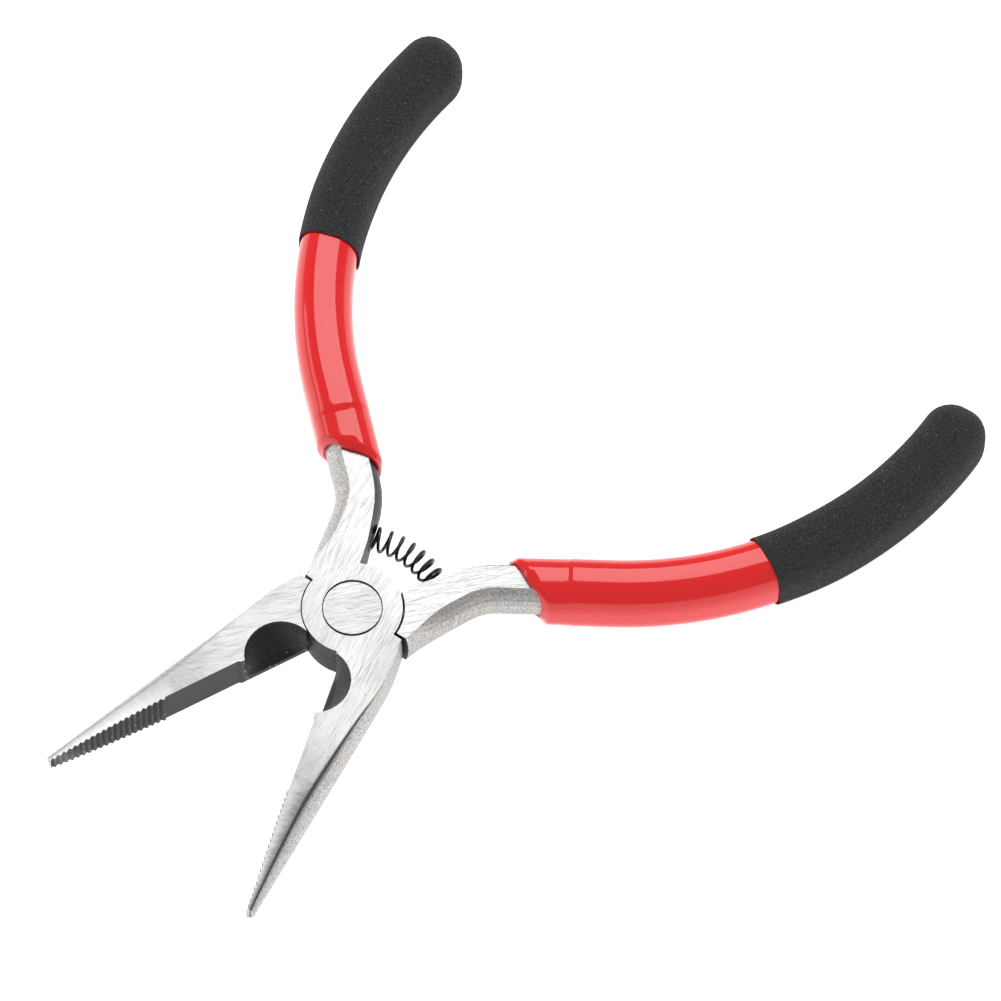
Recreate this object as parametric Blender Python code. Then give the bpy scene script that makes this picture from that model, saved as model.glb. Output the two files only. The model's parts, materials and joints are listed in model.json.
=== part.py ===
"""Long-nose pliers with a side cutter, a coil return spring and double dipped grips.

Each half is drawn closed, in its own frame: the pivot is the origin, the jaw points
along +Y on the -X side, the handle runs along -Y on the +X side, and z = 0 is the
plane where the two halves lap. The lower half is the same forging turned over.
Both then swing out by half of OPENING, which is the open stop. Lengths are in metres.
The world's origin is the centre of the rivet's flush underside.
"""

import math

import bmesh
import bpy
from mathutils import Matrix, Vector

# Lap joint
THICKNESS = 0.0064
OPENING = math.radians(43.6)
BOSS_RADIUS = 0.0066
BOSS_CLEARANCE = 0.00014
LAP_CLEARANCE = 0.0001
UPPER_HEEL_ANGLE = math.radians(17.8)
LOWER_HEEL_ANGLE = math.radians(25.8)
STOP_CLEARANCE = math.radians(3.2)

# Rivet
RIVET_HEAD_RADIUS = 0.0039
RIVET_SHANK_RADIUS = 0.0026
RIVET_HEAD_DEPTH = 0.0011
RIVET_CLEARANCE = 0.00008

# Jaw
JAW_LENGTH = 0.0445
JAW_ROOT_WIDTH = 0.0076
JAW_TIP_WIDTH = 0.0012
JAW_TIP_THICKNESS = 0.0024
JAW_ROLL = 0.0015
CLOSED_GAP = 0.0001
TOOTH_COUNT = 20
TOOTH_PITCH = 0.00084
TOOTH_DEPTH = 0.0003
RELIEF_DEPTH = 0.00025

# Cutter hollow, sunk in the upper face of each jaw
HOLLOW_LENGTH = 0.0091
HOLLOW_DEPTH = 0.0034
HOLLOW_START_GAP = 0.0001
CUTTER_EDGE_HEIGHT = 0.0008

# Handle: a straight neck, a bend outwards, a straight and a long bow back in
HANDLE_GAP = 0.0022
NECK_WIDTH = 0.0062
NECK_LENGTH = 0.0142
SHOULDER_FLARE = 0.0003
NECK_ROLL = 0.0019
NECK_INNER_ROLL = 0.0011
NECK_BEND_RADIUS = 0.0090
NECK_BEND = math.radians(30.6)
SHANK_LENGTH = 0.0149
BOW_RADIUS = 0.0526
BOW_LENGTH = 0.0539
END_DIFFERENCE = 0.0006
TANG_WIDTH = 0.0048
TANG_THICKNESS = 0.0060
TANG_ROLL = 0.0009

# Dipped sleeves: red over the whole handle, black over its far part
SLEEVE_START = 0.0226
SLEEVE_CLEARANCE = 0.0001
RED_WIDTH = 0.0078
RED_THICKNESS = 0.0098
RED_MOUTH_WIDTH = 0.0076
RED_MOUTH_THICKNESS = 0.0082
RED_COVERED_WIDTH = 0.0070
RED_COVERED_THICKNESS = 0.0090
RED_END_WALL = 0.0012
GRIP_START = 0.0543
GRIP_WIDTH = 0.0086
GRIP_THICKNESS = 0.0110
GRIP_LIP = 0.0003
GRIP_END_WALL = 0.0010

# Return spring, bent round the pivot with its ends in two blind holes
SPRING_PIVOT_RADIUS = 0.0120
SPRING_COIL_RADIUS = 0.0015
SPRING_WIRE_RADIUS = 0.00024
SPRING_TURNS = 10.0
SPRING_HOLE_DEPTH = 0.0024
SPRING_SIDE_CLEARANCE = 0.0002
SPRING_END_CLEARANCE = 0.0002

# Fineness of the meshes
ARC_SEGMENTS = 96
SECTION_POINTS = 20
WIRE_SIDES = 8
STEPS_PER_TURN = 14

HALF_THICKNESS = THICKNESS / 2.0
SWING = OPENING / 2.0
PIVOT = Vector((0.0, 0.0, HALF_THICKNESS))
POCKET_RADIUS = BOSS_RADIUS + BOSS_CLEARANCE
HOLLOW_MIDDLE = POCKET_RADIUS + HOLLOW_START_GAP + HOLLOW_LENGTH / 2.0
TEETH_START = JAW_LENGTH - TOOTH_COUNT * TOOTH_PITCH
BEND_LENGTH = NECK_BEND_RADIUS * NECK_BEND
TANG_END = NECK_LENGTH + BEND_LENGTH + SHANK_LENGTH + BOW_LENGTH
RED_END = TANG_END + SLEEVE_CLEARANCE + RED_END_WALL
GRIP_END = RED_END + SLEEVE_CLEARANCE + GRIP_END_WALL
MERGE = 1.0e-7


# ---------------------------------------------------------------- small helpers

def smooth(t):
    """Ease from 0 to 1 as t goes from 0 to 1."""
    t = min(1.0, max(0.0, t))
    return t * t * (3.0 - 2.0 * t)


def mix(a, b, t):
    return a + (b - a) * t


def along(knots, u):
    """Value at u of a smooth curve through (u, value) knots."""
    knots = [knots[0], *knots, knots[-1]]
    for i in range(1, len(knots) - 2):
        (u0, v0), (u1, v1), (u2, v2), (u3, v3) = knots[i - 1:i + 3]
        if u <= u2 or i == len(knots) - 3:
            break
    span = u2 - u1
    t = min(1.0, max(0.0, (u - u1) / span))
    m1 = (v2 - v0) / (u2 - u0) * span
    m2 = (v3 - v1) / (u3 - u1) * span
    return ((2 * t ** 3 - 3 * t ** 2 + 1) * v1 + (t ** 3 - 2 * t ** 2 + t) * m1
            + (-2 * t ** 3 + 3 * t ** 2) * v2 + (t ** 3 - t ** 2) * m2)


def spread(low, high, count):
    return [mix(low, high, i / (count - 1)) for i in range(count)]


def polar(radius, angle):
    return Vector((radius * math.cos(angle), radius * math.sin(angle), 0.0))


def add_mesh(name, bm):
    """Turn a bmesh into an object, all its faces pointing out."""
    bmesh.ops.recalc_face_normals(bm, faces=bm.faces[:])
    mesh = bpy.data.meshes.new(name)
    bm.to_mesh(mesh)
    bm.free()
    obj = bpy.data.objects.new(name, mesh)
    bpy.context.scene.collection.objects.link(obj)
    return obj


def loft(name, rings, close=False):
    """Skin a run of rings that have the same number of points."""
    bm = bmesh.new()
    loops = [[bm.verts.new(p) for p in ring] for ring in rings]
    pairs = list(zip(loops, loops[1:]))
    if close:
        pairs.append((loops[-1], loops[0]))
    for a, b in pairs:
        for i in range(len(a)):
            j = (i + 1) % len(a)
            bm.faces.new((a[i], a[j], b[j], b[i]))
    if not close:
        bm.faces.new(loops[0][::-1])
        bm.faces.new(loops[-1])
    return add_mesh(name, bm)


def prism(name, outline, low, high):
    """A flat outline drawn up from z = low to z = high."""
    return loft(name, [[Vector((p.x, p.y, z)) for p in outline] for z in (low, high)])


def turned(name, profile, segments=ARC_SEGMENTS):
    """A solid of revolution about Z from (radius, z) points, from the bottom up."""
    rings = [[polar(r, 2 * math.pi * i / segments) + Vector((0, 0, z)) for i in range(segments)]
             for r, z in profile]
    return loft(name, rings)


def combine(obj, other, operation):
    """Apply one exact Boolean and drop the other solid."""
    mod = obj.modifiers.new(operation, "BOOLEAN")
    mod.operation = operation
    mod.solver = "EXACT"
    mod.object = other
    bpy.context.view_layer.update()
    graph = bpy.context.evaluated_depsgraph_get()
    mesh = bpy.data.meshes.new_from_object(obj.evaluated_get(graph))
    obj.modifiers.remove(mod)
    obj.data = mesh
    bpy.data.objects.remove(other)


def tidy(obj):
    bm = bmesh.new()
    bm.from_mesh(obj.data)
    bmesh.ops.remove_doubles(bm, verts=bm.verts[:], dist=MERGE)
    bmesh.ops.dissolve_degenerate(bm, edges=bm.edges[:], dist=MERGE)
    bmesh.ops.triangulate(bm, faces=bm.faces[:])
    bm.to_mesh(obj.data)
    bm.free()


# ---------------------------------------------------------------- handle's path

def handle_point(s):
    """Centre of the handle and its heading, s along it from level with the pivot."""
    x = (HANDLE_GAP + NECK_WIDTH) / 2.0
    here = Vector((x, 0.0, 0.0))
    heading = 0.0
    runs = ((NECK_LENGTH, 0.0), (BEND_LENGTH, 1.0 / NECK_BEND_RADIUS), (SHANK_LENGTH, 0.0),
            (2.0 * BOW_RADIUS, -1.0 / BOW_RADIUS))
    for length, bend in runs:
        step = min(s, length)
        if bend:
            turn = step * bend
            here.x += (math.cos(heading) - math.cos(heading + turn)) / bend
            here.y -= (math.sin(heading + turn) - math.sin(heading)) / bend
            heading += turn
        else:
            here += step * Vector((math.sin(heading), -math.cos(heading), 0.0))
        s -= step
        if s <= 0.0:
            break
    return here, heading


def handle_ring(s, points, slant=0.0):
    """Carry (across, up) points to the handle's path; across is away from the other handle.

    A slant of 1 turns the ring until it lies square to the closed tool's length.
    """
    ring = []
    lean = slant * math.tan(handle_point(s)[1])
    for across, up in points:
        centre, heading = handle_point(s + lean * across)
        side = Vector((math.cos(heading), math.sin(heading), 0.0))
        ring.append(centre + side * across + Vector((0, 0, up)))
    return ring


def bar_section(inner, outer, half_up, inner_roll, outer_roll, grow=0.0):
    """Section of a forged bar: flat top and bottom, with sides that roll over."""
    levels = spread(-1.0, 1.0, SECTION_POINTS // 2)
    points = [(outer + grow - outer_roll * abs(t) ** 2.2, t * (half_up + grow)) for t in levels]
    points += [(-inner - grow + inner_roll * abs(t) ** 2.2, t * (half_up + grow))
               for t in reversed(levels)]
    return points


def oval_section(half_across, half_up, power):
    """Section of a dipped sleeve: an ellipse that gets squarer as power rises."""
    count = SECTION_POINTS // 2
    edge = math.pi / 2.0 - math.pi / SECTION_POINTS
    angles = spread(-edge, edge, count)
    angles += [math.pi + a for a in angles]
    points = []
    for a in angles:
        c, s = math.cos(a), math.sin(a)
        points.append((half_across * math.copysign(abs(c) ** (2.0 / power), c),
                       half_up * math.copysign(abs(s) ** (2.0 / power), s)))
    return points


def steel_section(s, grow=0.0):
    """Section of the bare neck, which narrows to the tang inside the sleeve."""
    neck = NECK_WIDTH / 2.0
    tang = TANG_WIDTH / 2.0
    hidden = smooth((s - SLEEVE_START) / (2.0 * BEND_LENGTH))
    half = mix(neck, tang, hidden)
    up = mix(HALF_THICKNESS, TANG_THICKNESS / 2.0, hidden)
    rolled = smooth((s - 0.4 * BOSS_RADIUS) / (NECK_LENGTH * 0.55))
    outer_roll = mix(mix(0.12 * NECK_ROLL, NECK_ROLL, rolled), TANG_ROLL, hidden)
    flare = SHOULDER_FLARE * (1.0 - smooth((s - BOSS_RADIUS) / (NECK_LENGTH - BOSS_RADIUS)))
    bared = smooth((s - 0.6 * NECK_LENGTH) / (0.7 * NECK_LENGTH))
    inner_roll = mix(NECK_INNER_ROLL * bared, TANG_ROLL, hidden)
    return bar_section(half, half + flare, up, inner_roll, outer_roll, grow)


# ---------------------------------------------------------------- forged halves

def jaw_ring(y, inner):
    """Section of the jaw across Y: flat inner face, rounded outer side."""
    u = y / JAW_LENGTH
    taper = along(((0, 1.0), (0.2, 1.0), (0.42, 0.75), (0.69, 0.40), (1.0, 0.0)), u)
    width = mix(JAW_TIP_WIDTH, JAW_ROOT_WIDTH, taper)
    roll = JAW_ROLL * along(((0, 0.1), (0.15, 0.15), (0.34, 0.7), (0.6, 1.0), (0.8, 0.8), (1.0, 0.45)), u)
    thin = max(0.0, (u - 0.58) / 0.42) ** 1.6
    up = mix(HALF_THICKNESS, JAW_TIP_THICKNESS / 2.0, thin)
    levels = spread(-1.0, 1.0, SECTION_POINTS // 2)
    ring = [Vector((-(width - roll * abs(t) ** 2.2), y, t * up)) for t in levels]
    ring += [Vector((-inner, y, t * up)) for t in reversed(levels)]
    return ring


def jaw_solid():
    face = CLOSED_GAP / 2.0
    relieved = face + RELIEF_DEPTH
    ramp = TOOTH_PITCH / 2.0
    hollow_end = HOLLOW_MIDDLE + HOLLOW_LENGTH / 2.0
    stations = [(y, face) for y in spread(0.0, hollow_end + ramp, 9)]
    stations += [(y, relieved) for y in spread(hollow_end + 2 * ramp, TEETH_START - ramp / 2, 6)]
    stations.append((TEETH_START, face))
    for i in range(TOOTH_COUNT):
        foot = TEETH_START + i * TOOTH_PITCH
        stations.append((foot + 0.25 * TOOTH_PITCH, face))
        stations.append((foot + 0.62 * TOOTH_PITCH, face + TOOTH_DEPTH))
    stations.append((JAW_LENGTH, face))
    return loft("jaw", [jaw_ring(y, inner) for y, inner in stations])


def handle_solid(longer):
    stations = spread(0.0, NECK_LENGTH, 8)
    stations += spread(NECK_LENGTH, NECK_LENGTH + BEND_LENGTH, 5)[1:]
    stations += spread(NECK_LENGTH + BEND_LENGTH, SLEEVE_START + BEND_LENGTH, 4)[1:]
    bow_start = NECK_LENGTH + BEND_LENGTH + SHANK_LENGTH
    stations += spread(SLEEVE_START + BEND_LENGTH, bow_start, 3)[1:]
    stations += spread(bow_start, TANG_END + longer, 15)[1:]
    return loft("handle", [handle_ring(s, steel_section(s)) for s in stations])


def sector(name, start, end, low, high):
    """A slab round the boss between two angles, to clear the other half's shoulders."""
    steps = max(2, round(ARC_SEGMENTS * abs(end - start) / (2 * math.pi)))
    angles = spread(start, end, steps + 1)
    outline = [polar(BOSS_RADIUS, a) for a in angles]
    outline += [polar(3.0 * BOSS_RADIUS, a) for a in reversed(angles)]
    return prism(name, outline, low, high)


def hollow_solid():
    """Cutter hollow: a bowl that is round at the face and runs out to a straight edge."""
    edge = -HALF_THICKNESS + CUTTER_EDGE_HEIGHT
    top = HALF_THICKNESS + THICKNESS / 4.0
    half = HOLLOW_LENGTH / 2.0
    rings = []
    for z in spread(edge, top, 8):
        rise = min(1.0, (z - edge) / (HALF_THICKNESS - edge))
        deep = CLOSED_GAP / 2.0 + HOLLOW_DEPTH * rise ** 0.8
        radius = (half ** 2 + deep ** 2) / (2.0 * deep)
        reach = math.atan2(half, radius - deep)
        centre = Vector((radius - deep, HOLLOW_MIDDLE, z))
        ring = [centre + polar(radius, math.pi - a) for a in spread(-reach, reach, 17)]
        ring += [Vector((HALF_THICKNESS, HOLLOW_MIDDLE + side * half, z)) for side in (1, -1)]
        rings.append(ring)
    return loft("hollow", rings)


def spring_hole_solid():
    """Blind hole in the handle's inner wall, square to the bent spring."""
    wall = HANDLE_GAP / 2.0
    start = math.asin(wall / SPRING_PIVOT_RADIUS)
    angle = start + SPRING_HOLE_DEPTH / SPRING_PIVOT_RADIUS / 2.0
    radius = SPRING_COIL_RADIUS + SPRING_WIRE_RADIUS + SPRING_SIDE_CLEARANCE
    length = SPRING_HOLE_DEPTH / 2.0
    hole = turned("spring_hole", [(radius, -wall - length), (radius, length)], 24)
    place = Matrix.Rotation(angle, 4, "Z")
    place = place @ Matrix.Translation((0.0, -SPRING_PIVOT_RADIUS, 0.0))
    place = place @ Matrix.Rotation(math.pi / 2.0, 4, "Y")
    hole.data.transform(place)
    return hole


def rivet_profile(grow):
    """Radius and height of the flush rivet, or of its hole, from the bottom up."""
    head = RIVET_HEAD_RADIUS + grow
    shank = RIVET_SHANK_RADIUS + grow
    neck = HALF_THICKNESS - RIVET_HEAD_DEPTH
    return [(head, -HALF_THICKNESS), (shank, -neck), (shank, neck), (head, HALF_THICKNESS)]


def forged_half(name, heel_angle, shoulder_angle, longer, hollow_up):
    """One forging, in its closed frame, with its boss in the upper layer."""
    far = 2.0 * HALF_THICKNESS
    half = jaw_solid()
    half.name = name
    combine(half, handle_solid(longer), "UNION")
    combine(half, turned("boss", [(BOSS_RADIUS, -HALF_THICKNESS), (BOSS_RADIUS, HALF_THICKNESS)]), "UNION")
    above_handle = sector("above_handle", -shoulder_angle, math.radians(60.0), -far, far)
    combine(half, above_handle, "DIFFERENCE")
    below_jaw = sector("below_jaw", math.pi - heel_angle, 1.5 * math.pi, -far, far)
    combine(half, below_jaw, "DIFFERENCE")
    pocket = [(POCKET_RADIUS, -far), (POCKET_RADIUS, LAP_CLEARANCE / 2.0)]
    combine(half, turned("pocket", pocket), "DIFFERENCE")
    profile = rivet_profile(RIVET_CLEARANCE)
    profile = [(profile[0][0], -far), *profile, (profile[-1][0], far)]
    combine(half, turned("rivet_hole", profile), "DIFFERENCE")
    hollow = hollow_solid()
    if not hollow_up:
        hollow.data.transform(Matrix.Scale(-1.0, 4, (0, 0, 1)))
        hollow.data.flip_normals()
    combine(half, hollow, "DIFFERENCE")
    combine(half, spring_hole_solid(), "DIFFERENCE")
    tidy(half)
    return half


# ---------------------------------------------------------------- sleeves

def end_rings(section, end, length):
    """Rings that close a sleeve's far end in a round cap."""
    rings = []
    for a in spread(0.0, math.radians(80.0), 6)[1:]:
        scale = math.cos(a)
        ring = [(across * scale, up * scale) for across, up in section]
        rings.append((end - length + length * math.sin(a), ring))
    return rings


def sock(name, outer, inner, start):
    """A closed-ended sleeve from its outer and inner runs of (s, section)."""
    runs = []
    for s, section in [*inner[::-1], *outer]:
        slant = 1.0 - smooth((s - start) / RED_WIDTH)
        runs.append(handle_ring(s, section, slant))
    return loft(name, runs)


def shrink(section, wall):
    """Move a section's points in towards its middle by a wall's thickness."""
    points = []
    for across, up in section:
        share = 1.0 - wall / math.hypot(across, up)
        points.append((across * share, up * share))
    return points


def red_outer_section(s):
    swell = smooth((s - SLEEVE_START) / (2.0 * BEND_LENGTH))
    covered = smooth((s - GRIP_START) / BEND_LENGTH)
    width = mix(mix(RED_MOUTH_WIDTH, RED_WIDTH, swell), RED_COVERED_WIDTH, covered)
    rise = mix(mix(RED_MOUTH_THICKNESS, RED_THICKNESS, swell), RED_COVERED_THICKNESS, covered)
    return oval_section(width / 2.0, rise / 2.0, mix(4.5, 2.6, swell))


def grip_outer_section(s):
    swell = smooth((s - GRIP_START) / (2.0 * BEND_LENGTH))
    width = mix(RED_WIDTH + 2.0 * GRIP_LIP, GRIP_WIDTH, swell)
    rise = mix(RED_THICKNESS + 2.0 * GRIP_LIP, GRIP_THICKNESS, swell)
    return oval_section(width / 2.0, rise / 2.0, 2.6)


def red_sleeve(name, longer):
    end = RED_END + longer
    cap = RED_COVERED_WIDTH / 2.0
    outer = [(s, red_outer_section(s)) for s in spread(SLEEVE_START, end - cap, 26)]
    outer += end_rings(outer[-1][1], end, cap)
    foot = TANG_END + longer + SLEEVE_CLEARANCE
    inner = [(s, steel_section(s, SLEEVE_CLEARANCE)) for s in spread(SLEEVE_START, foot, 26)]
    return sock(name, outer, inner, SLEEVE_START)


def black_grip(name, longer):
    end = GRIP_END + longer
    cap = GRIP_WIDTH / 2.0
    outer = [(s, grip_outer_section(s)) for s in spread(GRIP_START, end - cap, 14)]
    outer += end_rings(outer[-1][1], end, cap)
    red_end = RED_END + longer
    red_cap = RED_COVERED_WIDTH / 2.0
    inner = [(s, shrink(red_outer_section(s), -SLEEVE_CLEARANCE))
             for s in spread(GRIP_START, red_end - red_cap, 14)]
    inner += end_rings(inner[-1][1], red_end + SLEEVE_CLEARANCE, red_cap + SLEEVE_CLEARANCE)
    return sock(name, outer, inner, GRIP_START)


# ---------------------------------------------------------------- rivet and spring

def rivet(name):
    return turned(name, rivet_profile(0.0))


def return_spring(name):
    """A coil bent round the pivot, from the foot of one blind hole to the other."""
    wall = math.asin(HANDLE_GAP / 2.0 / SPRING_PIVOT_RADIUS)
    sunk = (SPRING_HOLE_DEPTH - SPRING_END_CLEARANCE) / SPRING_PIVOT_RADIUS
    reach = SWING + wall + sunk - SPRING_WIRE_RADIUS / SPRING_PIVOT_RADIUS
    steps = round(SPRING_TURNS * STEPS_PER_TURN)
    centres = []
    for i in range(steps + 1):
        around = 2.0 * math.pi * i / STEPS_PER_TURN
        angle = -math.pi / 2.0 + mix(-reach, reach, i / steps)
        radius = SPRING_PIVOT_RADIUS + SPRING_COIL_RADIUS * math.cos(around)
        centres.append(polar(radius, angle) + Vector((0, 0, SPRING_COIL_RADIUS * math.sin(around))))
    rings = []
    for i, centre in enumerate(centres):
        ahead = centres[min(i + 1, steps)] - centres[max(i - 1, 0)]
        ahead.normalize()
        out = centre - polar(SPRING_PIVOT_RADIUS, math.atan2(centre.y, centre.x))
        out = (out - ahead * out.dot(ahead)).normalized()
        across = ahead.cross(out)
        rings.append([centre + SPRING_WIRE_RADIUS * (out * math.cos(a) + across * math.sin(a))
                      for a in spread(0.0, 2.0 * math.pi, WIRE_SIDES + 1)[:-1]])
    return loft(name, rings)


# ---------------------------------------------------------------- assembly

def material(name, color, metallic, roughness):
    mat = bpy.data.materials.new(name)
    mat.use_nodes = True
    shader = mat.node_tree.nodes["Principled BSDF"]
    shader.inputs["Base Color"].default_value = (*color, 1.0)
    shader.inputs["Metallic"].default_value = metallic
    shader.inputs["Roughness"].default_value = roughness
    return mat


def axis_empty(name, turn, flipped):
    """A guide on the joint's axis; a flipped one turns its half over about Y."""
    empty = bpy.data.objects.new(name, None)
    empty.location = PIVOT
    empty.rotation_euler = (0.0, math.pi if flipped else 0.0, -turn if flipped else turn)
    bpy.context.scene.collection.objects.link(empty)
    return empty


def place(obj, parent, mat, smooth_angle=40.0):
    obj.parent = parent
    obj.data.materials.clear()
    obj.data.materials.append(mat)
    obj.data.shade_smooth()
    obj.data.set_sharp_from_angle(angle=math.radians(smooth_angle))
    return obj


def build():
    for obj in list(bpy.data.objects):
        bpy.data.objects.remove(obj)

    steel = material("ground_steel", (0.62, 0.61, 0.60), 1.0, 0.34)
    rivet_steel = material("rivet_steel", (0.66, 0.65, 0.64), 1.0, 0.30)
    wire = material("spring_wire", (0.05, 0.05, 0.05), 1.0, 0.35)
    red = material("red_dip", (0.62, 0.02, 0.02), 0.0, 0.18)
    black = material("black_dip", (0.03, 0.03, 0.03), 0.0, 0.85)

    upper_axis = axis_empty("upper_axis", SWING, flipped=False)
    lower_axis = axis_empty("lower_axis", SWING, flipped=True)
    centre_axis = axis_empty("centre_axis", 0.0, flipped=False)

    upper_shoulder = OPENING - LOWER_HEEL_ANGLE + STOP_CLEARANCE
    lower_shoulder = OPENING - UPPER_HEEL_ANGLE + STOP_CLEARANCE
    shorter, longer = -END_DIFFERENCE, END_DIFFERENCE
    upper = forged_half("upper_half", UPPER_HEEL_ANGLE, upper_shoulder, shorter, hollow_up=True)
    lower = forged_half("lower_half", LOWER_HEEL_ANGLE, lower_shoulder, longer, hollow_up=False)

    place(upper, upper_axis, steel)
    place(red_sleeve("upper_red_sleeve", shorter), upper_axis, red)
    place(black_grip("upper_black_grip", shorter), upper_axis, black)
    place(lower, lower_axis, steel)
    place(red_sleeve("lower_red_sleeve", longer), lower_axis, red)
    place(black_grip("lower_black_grip", longer), lower_axis, black)
    place(rivet("pivot_rivet"), centre_axis, rivet_steel)
    place(return_spring("return_spring"), centre_axis, wire)


build()
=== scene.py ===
"""Long-nose pliers with a side cutter: the finished look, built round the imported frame.

Every piece is drawn in the closed frame of its own half: the pivot is the origin, the
jaw points along +Y on the -X side, and the handle runs along -Y on the +X side. It is
then turned out to its open place. Lengths are in metres.
"""

import json
import math

import bpy
from bpy.props import FloatProperty, FloatVectorProperty, IntProperty, PointerProperty
from mathutils import Matrix, Vector


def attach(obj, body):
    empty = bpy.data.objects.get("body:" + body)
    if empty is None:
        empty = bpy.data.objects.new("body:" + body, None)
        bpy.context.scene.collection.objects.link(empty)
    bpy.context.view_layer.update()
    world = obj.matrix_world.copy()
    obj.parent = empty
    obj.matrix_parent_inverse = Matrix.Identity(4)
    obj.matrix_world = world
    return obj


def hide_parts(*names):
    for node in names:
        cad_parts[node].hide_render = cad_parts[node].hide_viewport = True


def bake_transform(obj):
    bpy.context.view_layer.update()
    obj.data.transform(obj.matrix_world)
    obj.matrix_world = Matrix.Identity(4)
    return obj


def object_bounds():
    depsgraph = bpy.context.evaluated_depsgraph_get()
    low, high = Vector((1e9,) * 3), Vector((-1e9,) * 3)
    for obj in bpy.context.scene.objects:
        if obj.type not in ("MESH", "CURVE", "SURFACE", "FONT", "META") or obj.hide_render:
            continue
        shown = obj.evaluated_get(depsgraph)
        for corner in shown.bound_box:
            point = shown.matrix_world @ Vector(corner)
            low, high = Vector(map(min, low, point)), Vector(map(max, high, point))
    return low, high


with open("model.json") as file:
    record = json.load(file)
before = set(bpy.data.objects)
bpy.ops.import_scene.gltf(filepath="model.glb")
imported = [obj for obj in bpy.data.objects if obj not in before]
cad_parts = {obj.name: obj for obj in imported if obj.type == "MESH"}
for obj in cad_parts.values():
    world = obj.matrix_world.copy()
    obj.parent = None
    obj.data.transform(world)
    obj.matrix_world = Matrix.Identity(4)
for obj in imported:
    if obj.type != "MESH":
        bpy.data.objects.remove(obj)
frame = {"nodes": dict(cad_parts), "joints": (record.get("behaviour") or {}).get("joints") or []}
CAD_BOX = [list(corner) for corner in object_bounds()]

bl_info = {
    "name": "Long-nose pliers",
    "version": (1, 0, 0),
    "blender": (4, 5, 0),
    "location": "3D View > Sidebar > Pliers",
    "description": "Finishes the pieces of a pair of sprung long-nose pliers",
    "category": "Object",
}

# From the frame
JOINT = frame["joints"][0]
PIVOT = Vector(JOINT["pos_m"])
SWING = math.radians(JOINT["range_deg"][1]) / 2.0
FLOOR_LEVEL = CAD_BOX[0][2]
BODIES = {"upper": "upper_arm", "lower": "lower_arm"}

# Forged halves
BOSS_RADIUS = 0.0066
RIVET_RADIUS = 0.0039
# Axis along which the painted shade in the joint's gaps is thickest.
RIM_AXIS = Vector((-0.63, 0.776, 0.0))
BELT_TURN = {"upper": math.radians(101.9), "lower": math.radians(51.4)}
# Colour of the painted shade in the joint's gaps.
PAINTED_GAP_SHADE = (0.01, 0.01, 0.01)
JAW_LENGTH = 0.0445
JAW_ROOT_WIDTH = 0.0076
JAW_TIP_WIDTH = 0.0012
JAW_ROLL = 0.0015
BRUSHED_FROM = 0.0262
HOLLOW_MIDDLE = Vector((0.0, 0.0114, 0.0))

# Line of the handle: a straight neck, a bend outwards, a straight and a long bow
HANDLE_X = 0.0042
NECK_LENGTH = 0.0142
NECK_BEND_RADIUS = 0.0090
NECK_BEND = math.radians(30.6)
SHANK_LENGTH = 0.0149
BOW_RADIUS = 0.0526
BOW_LENGTH = 0.0539
HANDLE_LENGTH = NECK_LENGTH + NECK_BEND_RADIUS * NECK_BEND + SHANK_LENGTH + BOW_LENGTH
LONGER = {"upper": -0.0006, "lower": 0.0006}

# Dipped sleeves, from their mouths to their far ends along that line
RED_START = 0.0226
RED_CREASE = RED_START + 0.0056
RED_COLLAR_HEIGHT = 0.00466
RED_MOUTH_HEIGHT = 0.0043
RED_TAIL_WIDTH = 0.0035
RED_TAIL_HEIGHT = 0.0045
RED_END = HANDLE_LENGTH + 0.0013
BLACK_START = 0.0543
BLACK_END = RED_END + 0.0011
BLACK_MOUTH_WIDTH = 0.0042
BLACK_MOUTH_HEIGHT = 0.0052

# Return spring
SPRING_BEND_RADIUS = 0.0120
SPRING_REACH = SWING + math.radians(14.5)
SPRING_START_TURN = math.radians(-40.0)

MERGE = 1.0e-6


# ---------------------------------------------------------------- settings

class SteelSettings(bpy.types.PropertyGroup):
    """Bare steel of the two halves and the rivet."""

    ground: FloatVectorProperty(
        name="Ground steel", description="Colour of the faces ground flat",
        subtype="COLOR", size=3, min=0.0, max=1.0, default=(0.355, 0.354, 0.352))
    forged: FloatVectorProperty(
        name="Forged steel", description="Colour of the satin sides",
        subtype="COLOR", size=3, min=0.0, max=1.0, default=(0.42, 0.416, 0.41))
    oxide: FloatVectorProperty(
        name="Black oxide", description="Colour of the blackened inner faces",
        subtype="COLOR", size=3, min=0.0, max=1.0, default=(0.015, 0.015, 0.016))
    edge_round: FloatProperty(
        name="Edge round", description="Width of the rounding along the steel's edges",
        default=0.00007, min=0.0, unit="LENGTH", precision=5)


class SleeveSettings(bpy.types.PropertyGroup):
    """Glossy red dip over each handle."""

    color: FloatVectorProperty(
        name="Red dip", description="Colour of the glossy dip",
        subtype="COLOR", size=3, min=0.0, max=1.0, default=(0.78, 0.006, 0.008))
    half_width: FloatProperty(
        name="Half width", description="Half of the sleeve across the handle",
        default=0.0039, unit="LENGTH", precision=5)
    half_height: FloatProperty(
        name="Half height", description="Half of the sleeve's height",
        default=0.0049, unit="LENGTH", precision=5)
    wall: FloatProperty(
        name="Wall", description="Thickness of the dip", default=0.0006,
        unit="LENGTH", precision=5)


class GripSettings(bpy.types.PropertyGroup):
    """Black foam dip over the far part of each handle."""

    color: FloatVectorProperty(
        name="Black foam", description="Colour of the foam dip",
        subtype="COLOR", size=3, min=0.0, max=1.0, default=(0.020, 0.020, 0.021))
    half_width: FloatProperty(
        name="Half width", description="Half of the grip across the handle",
        default=0.0043, unit="LENGTH", precision=5)
    half_height: FloatProperty(
        name="Half height", description="Half of the grip's height",
        default=0.0055, unit="LENGTH", precision=5)
    wall: FloatProperty(
        name="Wall", description="Thickness of the foam at its mouth", default=0.00026,
        unit="LENGTH", precision=5)


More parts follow.
